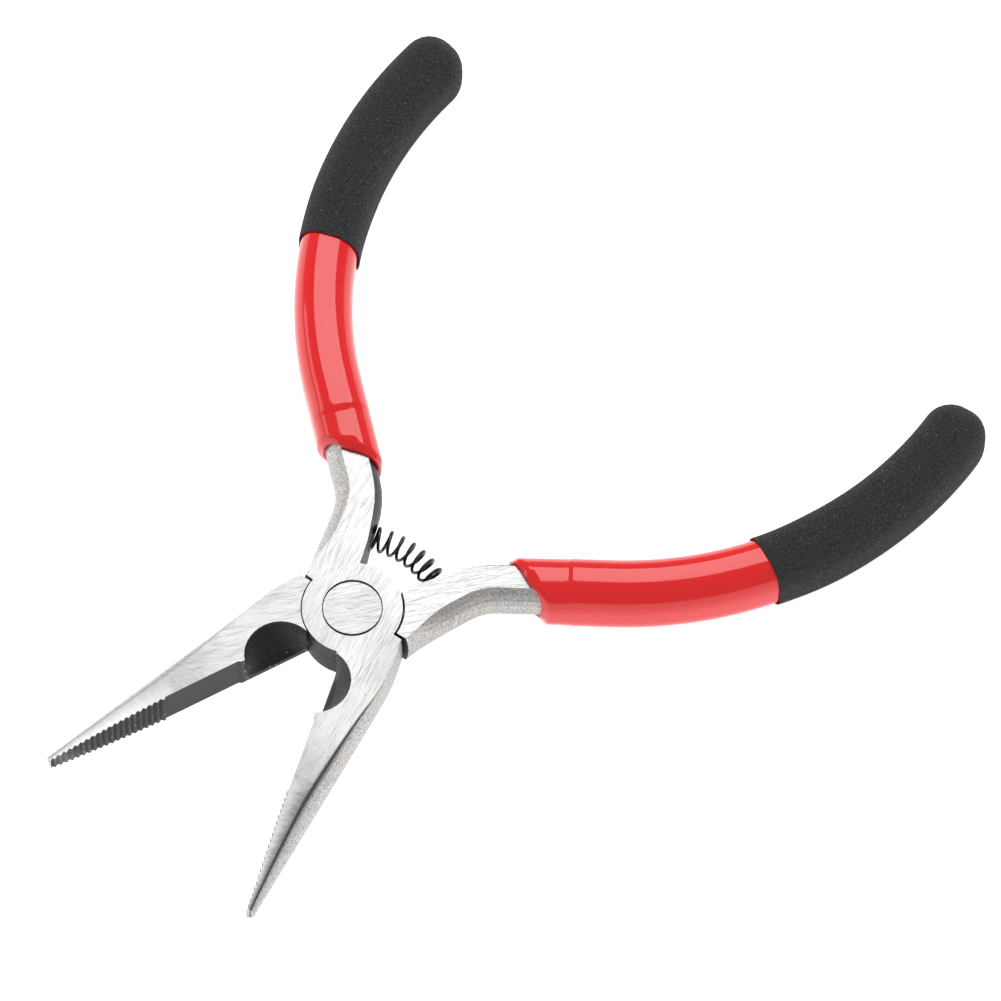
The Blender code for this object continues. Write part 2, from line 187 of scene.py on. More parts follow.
class SpringSettings(bpy.types.PropertyGroup):
    """Coil that opens the jaws."""

    color: FloatVectorProperty(
        name="Wire", description="Colour of the oiled wire",
        subtype="COLOR", size=3, min=0.0, max=1.0, default=(0.05, 0.047, 0.045))
    turns: IntProperty(
        name="Turns", description="Number of turns from wall to wall", default=10, min=2)
    coil_radius: FloatProperty(
        name="Coil radius", description="From the coil's middle to the wire's",
        default=0.0015, unit="LENGTH", precision=5)
    wire_radius: FloatProperty(
        name="Wire radius", description="Half of the wire's thickness",
        default=0.00024, unit="LENGTH", precision=5)


class StageSettings(bpy.types.PropertyGroup):
    """Floor, light and camera."""

    azimuth: FloatProperty(
        name="Azimuth", description="Where the camera stands round the tool",
        default=math.radians(-140.88), unit="ROTATION")
    elevation: FloatProperty(
        name="Elevation", description="Height of the camera above the horizon",
        default=math.radians(63.11), unit="ROTATION")
    roll: FloatProperty(
        name="Roll", description="Turn of the camera about its own line",
        default=math.radians(0.43), unit="ROTATION")
    distance: FloatProperty(
        name="Distance", description="From the camera to the rivet",
        default=1.4691, unit="LENGTH")
    aim_right: FloatProperty(
        name="Aim right", description="How far right of the rivet the camera looks",
        default=0.01937, unit="LENGTH", precision=5)
    aim_up: FloatProperty(
        name="Aim up", description="How far above the rivet the camera looks",
        default=0.01547, unit="LENGTH", precision=5)
    lens: FloatProperty(
        name="Lens", description="Focal length of the camera in millimetres", default=403.7)
    softbox_power: FloatProperty(
        name="Softbox power", description="Power of the large overhead softbox",
        default=3.4, unit="POWER")
    fill_power: FloatProperty(
        name="Fill power", description="Power of the low strip light at the side",
        default=0.6, unit="POWER")
    room: FloatProperty(
        name="Room", description="Brightness of the plain room", default=0.6)


# ---------------------------------------------------------------- modelling helpers

def smooth(t):
    """Ease from 0 to 1 as t goes from 0 to 1."""
    t = min(1.0, max(0.0, t))
    return t * t * (3.0 - 2.0 * t)


def mix(a, b, t):
    return a + (b - a) * t


def spread(low, high, count):
    return [mix(low, high, i / (count - 1)) for i in range(count)]


def start_fresh():
    """Leave edit mode and deselect everything."""
    if bpy.context.object and bpy.context.object.mode != "OBJECT":
        bpy.ops.object.mode_set(mode="OBJECT")
    bpy.ops.object.select_all(action="DESELECT")


def make_active(piece):
    start_fresh()
    piece.select_set(True)
    bpy.context.view_layer.objects.active = piece


def named(name):
    """Give the piece just added its name."""
    piece = bpy.context.object
    piece.name = name
    piece.data.name = name
    return piece


def apply_modifier(piece, kind, **settings):
    """Add one modifier with its settings and apply it."""
    make_active(piece)
    modifier = piece.modifiers.new(kind.title(), kind)
    for key, value in settings.items():
        setattr(modifier, key, value)
    bpy.ops.object.modifier_apply(modifier=modifier.name)


def select_points(piece, chosen):
    """Select in edit mode the points whose place passes the test."""
    make_active(piece)
    bpy.ops.object.mode_set(mode="EDIT")
    bpy.ops.mesh.select_mode(type="VERT")
    bpy.ops.mesh.select_all(action="DESELECT")
    bpy.ops.object.mode_set(mode="OBJECT")
    for point in piece.data.vertices:
        point.select = chosen(point.co)
    bpy.ops.object.mode_set(mode="EDIT")


def closed_frame(side):
    """Matrix that takes a half from its closed frame to its open place."""
    if side == "upper":
        return Matrix.Translation(PIVOT) @ Matrix.Rotation(SWING, 4, "Z")
    over = Matrix.Rotation(math.pi, 4, "Y")
    return Matrix.Translation(PIVOT) @ Matrix.Rotation(-SWING, 4, "Z") @ over


def settle(piece, side):
    """Turn a finished piece out to its open place and keep that place in its mesh."""
    make_active(piece)
    piece.matrix_world = closed_frame(side)
    bpy.ops.object.transform_apply(location=True, rotation=True, scale=True)


def finish_piece(piece, body, nodes, material=None):
    """Give a piece its place in the frame, and its finish if it has none yet."""
    if material:
        piece.data.materials.append(material)
    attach(piece, body)
    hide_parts(*nodes)


def handle_point(s):
    """Centre of the handle, s along it from level with the pivot."""
    here = Vector((HANDLE_X, 0.0, 0.0))
    heading = 0.0
    runs = ((NECK_LENGTH, 0.0), (NECK_BEND_RADIUS * NECK_BEND, 1.0 / NECK_BEND_RADIUS),
            (SHANK_LENGTH, 0.0), (2.0 * BOW_RADIUS, -1.0 / BOW_RADIUS))
    for length, bend in runs:
        step = min(s, length)
        if bend:
            turn = step * bend
            here.x += (math.cos(heading) - math.cos(heading + turn)) / bend
            here.y -= (math.sin(heading + turn) - math.sin(heading)) / bend
            heading += turn
        else:
            here += step * Vector((math.sin(heading), -math.cos(heading), 0.0))
        s -= step
        if s <= 0.0:
            break
    return here


def handle_line():
    """A guide curve down the middle of the handle."""
    points = [handle_point(s) for s in spread(0.0, HANDLE_LENGTH + 0.01, 200)]
    start_fresh()
    bpy.ops.curve.primitive_nurbs_path_add()
    guide = named("handle_line")
    guide.data.splines.clear()
    guide.data.dimensions = "2D"
    spline = guide.data.splines.new("POLY")
    spline.points.add(len(points) - 1)
    for knot, point in zip(spline.points, points):
        knot.co = (*point, 1.0)
    return guide


# ---------------------------------------------------------------- shader helpers

def add_node(tree, kind, inputs=None, **settings):
    """A node with its settings, and its inputs given as values or as other sockets."""
    node = tree.nodes.new(kind)
    for key, value in settings.items():
        setattr(node, key, value)
    for socket, value in (inputs or {}).items():
        if isinstance(value, bpy.types.NodeSocket):
            tree.links.new(value, node.inputs[socket])
        else:
            node.inputs[socket].default_value = value
    return node


def calc(tree, operation, *values, clamp=False):
    """One step of arithmetic."""
    node = add_node(tree, "ShaderNodeMath", dict(enumerate(values)), operation=operation)
    node.use_clamp = clamp
    return node.outputs["Value"]


def remap(tree, value, low, high, to_low=0.0, to_high=1.0):
    """Move a value from one range to another, held at both ends."""
    inputs = {"Value": value, "From Min": low, "From Max": high,
              "To Min": to_low, "To Max": to_high}
    return add_node(tree, "ShaderNodeMapRange", inputs).outputs["Result"]


def blend_colors(tree, share, a, b):
    """Colour a where the share is 0 and colour b where it is 1."""
    node = tree.nodes.new("ShaderNodeMix")
    node.data_type = "RGBA"
    for socket, value in ((node.inputs[0], share), (node.inputs[6], a), (node.inputs[7], b)):
        if isinstance(value, bpy.types.NodeSocket):
            tree.links.new(value, socket)
        elif socket is node.inputs[0]:
            socket.default_value = value
        else:
            socket.default_value = (*value[:3], 1.0)
    return node.outputs[2]


def places(tree, turn=0.0, centre=(0.0, 0.0, 0.0), scale=(1.0, 1.0, 1.0)):
    """Object coordinates, moved to a centre, turned about Z and then scaled."""
    coordinates = tree.nodes.new("ShaderNodeTexCoord").outputs["Object"]
    inputs = {"Vector": coordinates, "Location": centre, "Rotation": (0.0, 0.0, turn)}
    local = add_node(tree, "ShaderNodeMapping", inputs, vector_type="TEXTURE").outputs["Vector"]
    inputs = {"Vector": local, "Scale": scale}
    return add_node(tree, "ShaderNodeMapping", inputs).outputs["Vector"]


def new_group(name, inputs, outputs):
    """An empty node group with named number and vector inputs and number outputs."""
    tree = bpy.data.node_groups.new(name, "ShaderNodeTree")
    for label, default in inputs:
        kind = "NodeSocketVector" if default is None else "NodeSocketFloat"
        socket = tree.interface.new_socket(name=label, in_out="INPUT", socket_type=kind)
        if default is not None:
            socket.default_value = default
    for label in outputs:
        tree.interface.new_socket(name=label, in_out="OUTPUT", socket_type="NodeSocketFloat")
    return tree, tree.nodes.new("NodeGroupInput"), tree.nodes.new("NodeGroupOutput")


def scratch_group():
    """Fine straight marks along X, as a coarse belt leaves, with longer ones at slight angles.
    """
    name = "Belt scratches"
    if name in bpy.data.node_groups:
        return bpy.data.node_groups[name]
    tree, given, made = new_group(
        name, (("Vector", None), ("Length", 0.004), ("Width", 0.0001), ("Share", 0.4)),
        ("Marks", "Height"))
    across = calc(tree, "DIVIDE", 1.0, given.outputs["Width"])
    along = calc(tree, "DIVIDE", 1.0, given.outputs["Length"])
    layers = []
    for turn, shift, stretch in ((0.0, 0.0, 1.0), (0.09, 3.7, 0.6), (-0.12, 9.1, 0.45)):
        turned = add_node(tree, "ShaderNodeMapping", {
            "Vector": given.outputs["Vector"], "Rotation": (0.0, 0.0, turn),
            "Location": (shift, shift, 0.0)}).outputs["Vector"]
        scale = add_node(tree, "ShaderNodeCombineXYZ", {
            "X": calc(tree, "MULTIPLY", along, stretch), "Y": across, "Z": across}).outputs[0]
        stretched = add_node(tree, "ShaderNodeVectorMath", {0: turned, 1: scale},
                             operation="MULTIPLY").outputs["Vector"]
        layers.append(add_node(tree, "ShaderNodeTexNoise", {
            "Vector": stretched, "Scale": 1.0, "Detail": 2.0, "Roughness": 0.6}).outputs["Fac"])
    floor = calc(tree, "SUBTRACT", 0.72, calc(tree, "MULTIPLY", given.outputs["Share"], 0.2))
    marks = None
    for layer in layers:
        line = add_node(tree, "ShaderNodeMapRange", {
            "Value": layer, "From Min": floor, "From Max": calc(tree, "ADD", floor, 0.10)})
        line = line.outputs["Result"]
        marks = line if marks is None else calc(tree, "MAXIMUM", marks, line)
    tree.links.new(marks, made.inputs["Marks"])
    fine = calc(tree, "MULTIPLY", layers[0], 0.5)
    tree.links.new(calc(tree, "SUBTRACT", fine, marks), made.inputs["Height"])
    return tree


def grain_group():
    """Fine even grain, from a coarse and a fine noise."""
    name = "Fine grain"
    if name in bpy.data.node_groups:
        return bpy.data.node_groups[name]
    tree, given, made = new_group(
        name, (("Vector", None), ("Size", 0.0002)), ("Grain", "Cloud"))
    scale = calc(tree, "DIVIDE", 1.0, given.outputs["Size"])
    fine = add_node(tree, "ShaderNodeTexNoise", {
        "Vector": given.outputs["Vector"], "Scale": scale, "Detail": 3.0,
        "Roughness": 0.7}).outputs["Fac"]
    cloud = add_node(tree, "ShaderNodeTexNoise", {
        "Vector": given.outputs["Vector"], "Scale": calc(tree, "MULTIPLY", scale, 0.06),
        "Detail": 2.0}).outputs["Fac"]
    tree.links.new(remap(tree, fine, 0.3, 0.7), made.inputs["Grain"])
    tree.links.new(remap(tree, cloud, 0.35, 0.65), made.inputs["Cloud"])
    return tree


def fleck_group():
    """Sparse small specks: one in each cell, kept in a share of the cells."""
    name = "Sparse flecks"
    if name in bpy.data.node_groups:
        return bpy.data.node_groups[name]
    tree, given, made = new_group(
        name, (("Vector", None), ("Spacing", 0.001), ("Size", 0.12), ("Share", 0.3)),
        ("Flecks",))
    cells = add_node(tree, "ShaderNodeTexVoronoi", {
        "Vector": given.outputs["Vector"],
        "Scale": calc(tree, "DIVIDE", 1.0, given.outputs["Spacing"])})
    dot = calc(tree, "SUBTRACT", 1.0, calc(
        tree, "DIVIDE", cells.outputs["Distance"], given.outputs["Size"]), clamp=True)
    tone = add_node(tree, "ShaderNodeSeparateColor", {"Color": cells.outputs["Color"]})
    kept = calc(tree, "LESS_THAN", tone.outputs[0], given.outputs["Share"])
    flecks = calc(tree, "MULTIPLY", remap(tree, dot, 0.0, 0.5), kept)
    tree.links.new(flecks, made.inputs["Flecks"])
    return tree


def place_group(tree, group, inputs):
    """Put a node group into a tree."""
    return add_node(tree, "ShaderNodeGroup", inputs, node_tree=group)


def along(knots, u):
    """Value at u of a smooth curve through (u, value) knots."""
    knots = [knots[0], *knots, knots[-1]]
    for i in range(1, len(knots) - 2):
        (u0, v0), (u1, v1), (u2, v2), (u3, v3) = knots[i - 1:i + 3]
        if u <= u2 or i == len(knots) - 3:
            break
    span = u2 - u1
    t = min(1.0, max(0.0, (u - u1) / span))
    m1 = (v2 - v0) / (u2 - u0) * span
    m2 = (v3 - v1) / (u3 - u1) * span
    return ((2 * t ** 3 - 3 * t ** 2 + 1) * v1 + (t ** 3 - 2 * t ** 2 + t) * m1
            + (-2 * t ** 3 + 3 * t ** 2) * v2 + (t ** 3 - t ** 2) * m2)


def jaw_flat_width(u):
    """Width of the jaw's flat top, u along the jaw."""
    taper = along(((0, 1.0), (0.2, 1.0), (0.42, 0.75), (0.69, 0.40), (1.0, 0.0)), u)
    roll = along(((0, 0.1), (0.15, 0.15), (0.34, 0.7), (0.6, 1.0), (0.8, 0.8), (1.0, 0.45)), u)
    return mix(JAW_TIP_WIDTH, JAW_ROOT_WIDTH, taper) - JAW_ROLL * roll


def jaw_group():
    """In the closed frame: how far outside the jaw's flat top, its width, and the length."""
    name = "Jaw shape"
    if name in bpy.data.node_groups:
        return bpy.data.node_groups[name]
    tree, given, made = new_group(name, (("Vector", None),), ("Outside", "Width", "Along"))
    place = add_node(tree, "ShaderNodeSeparateXYZ", {"Vector": given.outputs["Vector"]})
    share = calc(tree, "DIVIDE", place.outputs["Y"], JAW_LENGTH, clamp=True)
    curve = add_node(tree, "ShaderNodeFloatCurve", {"Value": share})
    line = curve.mapping.curves[0]
    for u in spread(0.0, 1.0, 13)[1:-1]:
        line.points.new(u, 100.0 * jaw_flat_width(u))
    line.points[0].location = (0.0, 100.0 * jaw_flat_width(0.0))
    line.points[-1].location = (1.0, 100.0 * jaw_flat_width(1.0))
    curve.mapping.update()
    width = calc(tree, "DIVIDE", curve.outputs["Value"], 100.0)
    outside = calc(tree, "SUBTRACT", calc(tree, "MULTIPLY", place.outputs["X"], -1.0), width)
    tree.links.new(outside, made.inputs["Outside"])
    tree.links.new(width, made.inputs["Width"])
    tree.links.new(place.outputs["Y"], made.inputs["Along"])
    return tree


def closed_places(tree, side):
    """Object coordinates carried back to the closed frame of one half."""
    turn = SWING if side == "upper" else -SWING
    scale = (1.0, 1.0, 1.0) if side == "upper" else (-1.0, 1.0, -1.0)
    return places(tree, turn=turn, centre=tuple(PIVOT), scale=scale)


def painted_valley_shade(tree, jaw, side):
    """Painted shade: a soft dark line where the jaw's flat top meets its round side, from mid
    jaw on.
    """
    # The painted shade is stronger on the upper half than on the lower one.
    strength = 0.92 if side == "upper" else 0.35
    outside, reach = jaw.outputs["Outside"], jaw.outputs["Along"]
    growing = remap(tree, reach, 0.011, 0.023, 0.00008, 0.00055)
    half = calc(tree, "SUBTRACT", growing, remap(tree, reach, 0.026, 0.044, 0.0, 0.00036))
    off = calc(tree, "ABSOLUTE", calc(tree, "SUBTRACT", outside, 0.0001))
    near = calc(tree, "SUBTRACT", 1.0, calc(tree, "DIVIDE", off, half), clamp=True)
    ahead = calc(tree, "GREATER_THAN", outside, -0.002)
    shown = calc(tree, "MULTIPLY", remap(tree, reach, 0.008, 0.014, 0.0, strength), ahead)
    return calc(tree, "MULTIPLY", add_node(
        tree, "ShaderNodeMapRange", {"Value": near}, interpolation_type="SMOOTHSTEP"
    ).outputs["Result"], shown)


def new_material(name):
    """A material, its node tree and its main shader."""
    material = bpy.data.materials.new(name)
    material.use_nodes = True
    tree = material.node_tree
    return material, tree, tree.nodes["Principled BSDF"]


def coat_with(tree, shader, color, rough, metallic=0.0):
    """Feed a colour and a roughness to the shader."""
    tree.links.new(color, shader.inputs["Base Color"])
    tree.links.new(rough, shader.inputs["Roughness"])
    shader.inputs["Metallic"].default_value = metallic


def bump(tree, shader, height, strength, distance):
    """Feed a height to the shader's normal."""
    node = add_node(tree, "ShaderNodeBump", {
        "Height": height, "Strength": strength, "Distance": distance})
    tree.links.new(node.outputs["Normal"], shader.inputs["Normal"])


# ---------------------------------------------------------------- finishes

def painted_joint_shade(tree, radius, least, most, axis, both_ways):
    """Painted shade in a gap of the joint: a dark band round the pivot just outside a radius,
    thick on the axis and thin off it.
    """
    local = places(tree, centre=tuple(PIVOT))
    flat = add_node(tree, "ShaderNodeVectorMath", {0: local, 1: (1.0, 1.0, 0.0)},
                    operation="MULTIPLY").outputs["Vector"]
    distance = add_node(tree, "ShaderNodeVectorMath", {0: flat},
                        operation="LENGTH").outputs["Value"]
    dot = add_node(tree, "ShaderNodeVectorMath", {0: flat, 1: tuple(axis)},
                   operation="DOT_PRODUCT").outputs["Value"]
    facing = calc(tree, "DIVIDE", dot, distance)
    if both_ways:
        facing = calc(tree, "ABSOLUTE", facing)
    width = remap(tree, facing, 0.1, 0.9, least, most)
    off = calc(tree, "ABSOLUTE", calc(tree, "SUBTRACT", distance, radius))
    return calc(tree, "SUBTRACT", 1.0, add_node(tree, "ShaderNodeMapRange", {
        "Value": off, "From Min": calc(tree, "MULTIPLY", width, 0.7), "From Max": width,
    }).outputs["Result"], clamp=True), local


def painted_rivet_shade(tree):
    """Painted shade in the gap round the rivet: a dark line."""
    return painted_joint_shade(tree, RIVET_RADIUS + 0.00004, 0.00003, 0.00018, RIM_AXIS, True)[0]


def scratched(tree, turn, color):
    """Colour, roughness and height of steel off a coarse belt."""
    spot = places(tree, turn=turn)
    marks = place_group(tree, scratch_group(), {
        "Vector": spot, "Length": 0.0027, "Width": 0.00007, "Share": 0.6})
    grain = place_group(tree, grain_group(), {"Vector": spot, "Size": 0.0008})
    worn = blend_colors(tree, calc(tree, "MULTIPLY", grain.outputs["Cloud"], 0.35),
                        color, [c * 0.93 for c in color])
    faint = calc(tree, "MULTIPLY", marks.outputs["Marks"], 0.7)
    dark = blend_colors(tree, faint, worn, [c * 0.32 for c in color])
    rough = remap(tree, grain.outputs["Cloud"], 0.0, 1.0, 0.30, 0.38)
    return dark, rough, marks.outputs["Height"]


def ground_steel(name, turn, color):
    """Flat steel off a coarse belt: nearly white, with dark fine scratches one way and painted
    shade in the gap round the rivet.
    """
    material, tree, shader = new_material(name)
    tone, rough, height = scratched(tree, turn, color)
    tone = blend_colors(tree, painted_rivet_shade(tree), tone, PAINTED_GAP_SHADE)
    coat_with(tree, shader, tone, rough, metallic=1.0)
    bump(tree, shader, height, 0.25, 0.00002)
    return material


def ground_jaw_steel(name, side, color):
    """Ground steel whose jaw is brushed across beyond the flat, with painted shade across the
    jaw's round top that grows darker towards the valley, and painted shade in the joint's gaps.
    """
    material, tree, shader = new_material(name)
    tone, rough, height = scratched(tree, BELT_TURN[side], color)
    spot = closed_places(tree, side)
    jaw = place_group(tree, jaw_group(), {"Vector": spot})
    ragged = place_group(tree, grain_group(), {"Vector": spot, "Size": 0.0006})
    reach = calc(tree, "ADD", jaw.outputs["Along"],
                 calc(tree, "MULTIPLY", ragged.outputs["Grain"], 0.0016))
    beyond = remap(tree, reach, BRUSHED_FROM, BRUSHED_FROM + 0.0016)
    run_out = calc(tree, "MULTIPLY", remap(tree, reach, BRUSHED_FROM - 0.008, BRUSHED_FROM),
                   calc(tree, "SUBTRACT", 1.0, beyond))
    # Painted shade across the jaw's round top: light by the inner edge and darker towards the
    # valley, lighter towards the tip, with the brush strands mixed in.
    across = calc(tree, "DIVIDE", jaw.outputs["Outside"], jaw.outputs["Width"])
    painted_fall_shade = remap(tree, across, -0.75, -0.15)
    brushing = add_node(tree, "ShaderNodeMapping", {
        "Vector": spot, "Scale": (900.0, 7000.0, 900.0)}).outputs["Vector"]
    strands = add_node(tree, "ShaderNodeTexNoise", {
        "Vector": brushing, "Scale": 1.0, "Detail": 3.0, "Roughness": 0.65}).outputs["Fac"]
    level = calc(tree, "ADD", painted_fall_shade, remap(tree, strands, 0.3, 0.7, -0.4, 0.4))
    to_tip = remap(tree, jaw.outputs["Along"], BRUSHED_FROM, 0.9 * JAW_LENGTH)
    lit_tone = blend_colors(tree, to_tip, color, [min(1.0, c * 2.5) for c in color])
    # The lower half's painted shade is a paler copy of the upper half's.
    paler = 1.0 if side == "upper" else 1.9
    shaded_tone = blend_colors(tree, to_tip, [c * 0.42 * paler for c in color],
                        [c * 0.9 * paler for c in color])
    brushed = blend_colors(tree, remap(tree, level, 0.0, 1.0), lit_tone, shaded_tone)
    dulled = blend_colors(tree, calc(tree, "MULTIPLY", run_out, remap(
        tree, strands, 0.35, 0.65, 0.1, 0.5)), tone, [c * 0.45 for c in color])
    sided = blend_colors(tree, beyond, dulled, brushed)
    # Painted shade: the dark valley line along the jaw.
    finished = blend_colors(tree, painted_valley_shade(tree, jaw, side), sided,
                            [c * 0.06 for c in color])
    # Painted shade in the gaps round the rivet and round the other half's boss.
    side_axis = RIM_AXIS.cross(Vector((0.0, 0.0, -1.0)))
    pocket_shade, local = painted_joint_shade(tree, BOSS_RADIUS + 0.00014, 0.00003, 0.00018, side_axis, False)
    level = add_node(tree, "ShaderNodeSeparateXYZ", {"Vector": local}).outputs["Z"]
    far_layer = calc(tree, "LESS_THAN" if side == "upper" else "GREATER_THAN", level, 0.0)
    painted_rims = calc(tree, "MAXIMUM", painted_rivet_shade(tree), calc(tree, "MULTIPLY", pocket_shade, far_layer))
    finished = blend_colors(tree, painted_rims, finished, PAINTED_GAP_SHADE)
    coat_with(tree, shader, finished, rough, metallic=1.0)
    bump(tree, shader, height, 0.25, 0.00002)
    return material


def forged_steel(name, side, color):
    """Satin forged side: speckled grey, with a painted shade line under the jaw's upper edge."""
    material, tree, shader = new_material(name)
    spot = closed_places(tree, side)
    jaw = place_group(tree, jaw_group(), {"Vector": spot})
    drawn = add_node(tree, "ShaderNodeMapping", {
        "Vector": spot, "Scale": (1.0, 1.6, 1.0)}).outputs["Vector"]
    grain = place_group(tree, grain_group(), {"Vector": drawn, "Size": 0.0003})
    speckle = remap(tree, grain.outputs["Grain"], 0.15, 0.85)
    pale = blend_colors(tree, speckle, [c * 0.56 for c in color],
                        [min(1.0, c * 1.48) for c in color])
    tint = blend_colors(tree, calc(tree, "MULTIPLY", grain.outputs["Cloud"], 0.3),
                        pale, [color[0] * 1.1, color[1] * 1.03, color[2] * 0.97])
    # Painted shade: the dark valley line along the jaw.
    finished = blend_colors(tree, painted_valley_shade(tree, jaw, side), tint,
                            [c * 0.06 for c in color])
    rough = remap(tree, speckle, 0.0, 1.0, 0.5, 0.36)
    coat_with(tree, shader, finished, rough, metallic=1.0)
    bump(tree, shader, speckle, 0.5, 0.00004)
    return material


def black_oxide(name, side, color):
    """Blackened inner faces: milling marks, pale flecks by the cutter's edge, a worn tip."""
    material, tree, shader = new_material(name)
    turn = SWING if side == "upper" else -SWING
    middle = closed_frame(side) @ HOLLOW_MIDDLE
    spot = places(tree, turn=turn, centre=tuple(middle))
    rings = add_node(tree, "ShaderNodeTexWave", {
        "Vector": spot, "Scale": 1500.0, "Distortion": 1.6, "Detail": 2.0,
        "Detail Scale": 4.0}, wave_type="RINGS", rings_direction="SPHERICAL").outputs["Fac"]
    grain = place_group(tree, grain_group(), {"Vector": spot, "Size": 0.00024})
    flecks = place_group(tree, fleck_group(), {
        "Vector": spot, "Spacing": 0.0005, "Size": 0.32, "Share": 0.16})
    base = blend_colors(tree, grain.outputs["Grain"], [c * 0.45 for c in color],
                        [c * 1.7 for c in color])
    lined = blend_colors(tree, calc(tree, "MULTIPLY", rings, 0.22), base,
                         [c * 3.0 for c in color])
    shape = add_node(tree, "ShaderNodeSeparateXYZ", {"Vector": spot})
    by_edge = remap(tree, calc(tree, "ABSOLUTE", shape.outputs["X"]), 0.0009, 0.0001)
    struck = calc(tree, "MULTIPLY", flecks.outputs["Flecks"],
                  calc(tree, "ADD", 0.03, calc(tree, "MULTIPLY", by_edge, 0.75)))
    flecked = blend_colors(tree, struck, lined, (0.5, 0.5, 0.5))
    tip = JAW_LENGTH - HOLLOW_MIDDLE.y
    worn = calc(tree, "MULTIPLY", remap(
        tree, shape.outputs["Y"], tip - 0.006, tip, 0.0, 0.6), grain.outputs["Cloud"])
    finished = blend_colors(tree, worn, flecked, (0.30, 0.295, 0.29))
    rough = remap(tree, grain.outputs["Grain"], 0.0, 1.0, 0.35, 0.55)
    coat_with(tree, shader, finished, rough, metallic=0.2)
    shader.inputs["Specular IOR Level"].default_value = 0.25
    height = calc(tree, "ADD", calc(tree, "MULTIPLY", rings, 0.4), grain.outputs["Grain"])
    bump(tree, shader, height, 0.4, 0.00003)
    return material


def red_dip(color):
    """Glossy vinyl dip with a slightly wavy skin and a few trapped bubbles."""
    material, tree, shader = new_material("red_dip")
    spot = places(tree)
    wave = place_group(tree, grain_group(), {"Vector": spot, "Size": 0.004})
    bubbles = place_group(tree, fleck_group(), {
        "Vector": spot, "Spacing": 0.0042, "Size": 0.075, "Share": 0.35})
    tone = blend_colors(tree, calc(tree, "MULTIPLY", wave.outputs["Cloud"], 0.5), color,
                        (color[0] * 0.9, color[1], color[2]))
    spotted = blend_colors(tree, calc(tree, "MULTIPLY", bubbles.outputs["Flecks"], 0.35),
                           tone, (0.80, 0.30, 0.28))
    coat_with(tree, shader, spotted, remap(tree, wave.outputs["Grain"], 0.0, 1.0, 0.06, 0.10))
    shader.inputs["IOR"].default_value = 1.5
    height = calc(tree, "ADD", calc(tree, "MULTIPLY", wave.outputs["Cloud"], 0.4),
                  bubbles.outputs["Flecks"])
    bump(tree, shader, height, 0.5, 0.00008)
    return material


def black_foam(color):
    """Foamed dip: matt, finely pitted, with sparse pale specks."""
    material, tree, shader = new_material("black_foam")
    spot = places(tree)
    grain = place_group(tree, grain_group(), {"Vector": spot, "Size": 0.0003})
    specks = place_group(tree, fleck_group(), {
        "Vector": spot, "Spacing": 0.0006, "Size": 0.22, "Share": 0.16})
    base = blend_colors(tree, grain.outputs["Grain"], [c * 0.2 for c in color],
                        [c * 3.1 for c in color])
    cloudy = blend_colors(tree, calc(tree, "MULTIPLY", grain.outputs["Cloud"], 0.3), base,
                          [c * 1.5 for c in color])
    flecked = blend_colors(tree, calc(tree, "MULTIPLY", specks.outputs["Flecks"], 0.55),
                           cloudy, (0.24, 0.24, 0.24))
    coat_with(tree, shader, flecked, remap(tree, grain.outputs["Grain"], 0.0, 1.0, 0.95, 0.8))
    shader.inputs["Specular IOR Level"].default_value = 0.35
    bump(tree, shader, grain.outputs["Grain"], 1.0, 0.00018)
    return material


def oiled_wire(color):
    """Dark drawn wire with a fine grain and a soft gloss."""
    material, tree, shader = new_material("spring_wire")
    spot = places(tree)
    grain = place_group(tree, grain_group(), {"Vector": spot, "Size": 0.0003})
    tone = blend_colors(tree, grain.outputs["Grain"], [c * 0.6 for c in color],
                        [c * 1.6 for c in color])
    rough = remap(tree, grain.outputs["Grain"], 0.0, 1.0, 0.25, 0.4)
    coat_with(tree, shader, tone, rough, metallic=1.0)
    bump(tree, shader, grain.outputs["Grain"], 0.3, 0.00001)
    return material


# ---------------------------------------------------------------- pieces

def merged_copy(node, name):
    """A copy of a frame node, its loose triangles joined into clean faces."""
    make_active(frame["nodes"][node])
    bpy.ops.object.duplicate()
    piece = named(name)
    piece.parent = None
    for key in [key for key in piece.keys() if key.startswith("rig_")]:
        del piece[key]
    piece.data.materials.clear()
    bpy.ops.mesh.customdata_custom_splitnormals_clear()
    bpy.ops.object.mode_set(mode="EDIT")
    bpy.ops.mesh.select_all(action="SELECT")
    bpy.ops.mesh.remove_doubles(threshold=MERGE)
    bpy.ops.mesh.dissolve_limited(angle_limit=math.radians(0.6))
    bpy.ops.object.mode_set(mode="OBJECT")
    return piece


def round_edges(piece, width, material_index):
    """A narrow rounding along every sharp edge."""
    apply_modifier(piece, "BEVEL", width=width, segments=2, limit_method="ANGLE",
                   angle_limit=math.radians(35.0), material=material_index,
                   harden_normals=True, miter_outer="MITER_ARC")


# The third finish, black, serves both the oxide faces and the painted gap shade.
GROUND, FORGED, OXIDE_AND_GAP_SHADE = range(3)


def face_finish(place, normal):
    """Which finish a face has, from its place and normal in the closed frame."""
    if abs(normal.z) > 0.8:
        return GROUND
    distance = math.hypot(place.x, place.y)
    radial = (normal.x * place.x + normal.y * place.y) / distance
    if distance < 1.03 * BOSS_RADIUS or (distance < 1.9 * BOSS_RADIUS and abs(radial) < 0.35):
        return OXIDE_AND_GAP_SHADE
    inward = normal.x if place.y > 0.0 else -normal.x
    return OXIDE_AND_GAP_SHADE if inward > 0.15 else FORGED


